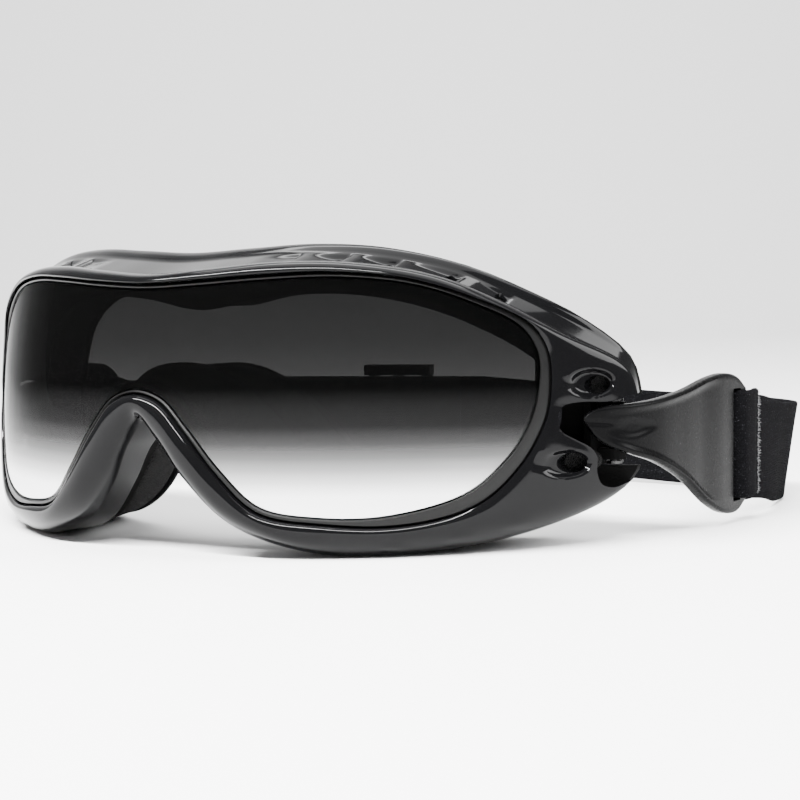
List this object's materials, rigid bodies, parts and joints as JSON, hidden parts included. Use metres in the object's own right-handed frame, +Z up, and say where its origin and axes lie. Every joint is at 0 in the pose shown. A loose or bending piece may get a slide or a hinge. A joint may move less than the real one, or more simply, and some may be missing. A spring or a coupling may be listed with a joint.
{
  "type": "motorcycle goggles",
  "caption": "Wrap-round riding goggles: gloss shell, smoke-gradient shield lens, foam face pad, pinned strap arms and an elastic strap with a slider.",
  "frame": {"origin": "centre of the bounding box at the surface the goggles lie on", "axes": "+Z up, +X to the wearer's left, lens facing -Y and strap behind at +Y"},
  "size_m": [0.1962, 0.1752, 0.0651],
  "materials": {
    "gloss_shell": "gloss black",
    "smoke_lens": "smoke gradient, dark at the top and nearly clear at the bottom",
    "gasket_rubber": "soft black",
    "matte_carrier": "matte black",
    "face_foam": "open-cell foam",
    "face_fleece": "brushed fleece",
    "vent_foam": "thin breathable foam",
    "pin_steel": "drawn wire",
    "satin_arm": "satin black",
    "webbing": "woven elastic",
    "satin_slider": "satin black"
  },
  "bodies": {
    "frame": {"front_frame": "gloss_shell", "lens": "smoke_lens", "lens_gasket": "gasket_rubber", "foam_carrier": "matte_carrier", "foam_pad": "face_foam", "face_lining": "face_fleece", "top_vent_screen_left": "vent_foam", "top_vent_screen_right": "vent_foam", "side_vent_screen_upper_left": "vent_foam", "side_vent_screen_upper_right": "vent_foam", "side_vent_screen_lower_left": "vent_foam", "side_vent_screen_lower_right": "vent_foam", "hinge_pin_left": "pin_steel", "hinge_pin_right": "pin_steel", "strap": "webbing", "strap_return": "webbing"},
    "left_arm": {"outrigger_left": "satin_arm", "strap_loop_left": "webbing"},
    "right_arm": {"outrigger_right": "satin_arm", "strap_loop_right": "webbing"},
    "slider": {"strap_slider": "satin_slider"}
  },
  "joints": [
    {"name": "left_arm_hinge", "type": "hinge", "parent": "frame", "child": "left_arm", "pos_m": [0.0826, -0.02515, 0.02425], "axis": [0, 0, -1], "range_deg": [-14, 12]},
    {"name": "right_arm_hinge", "type": "hinge", "parent": "frame", "child": "right_arm", "pos_m": [-0.0826, -0.02515, 0.02425], "axis": [0, 0, 1], "range_deg": [-14, 12]},
    {"name": "slider_travel", "type": "slide", "parent": "frame", "child": "slider", "axis": [-0.9501, -0.312, 0], "range_m": [-0.008, 0.008]}
  ]
}
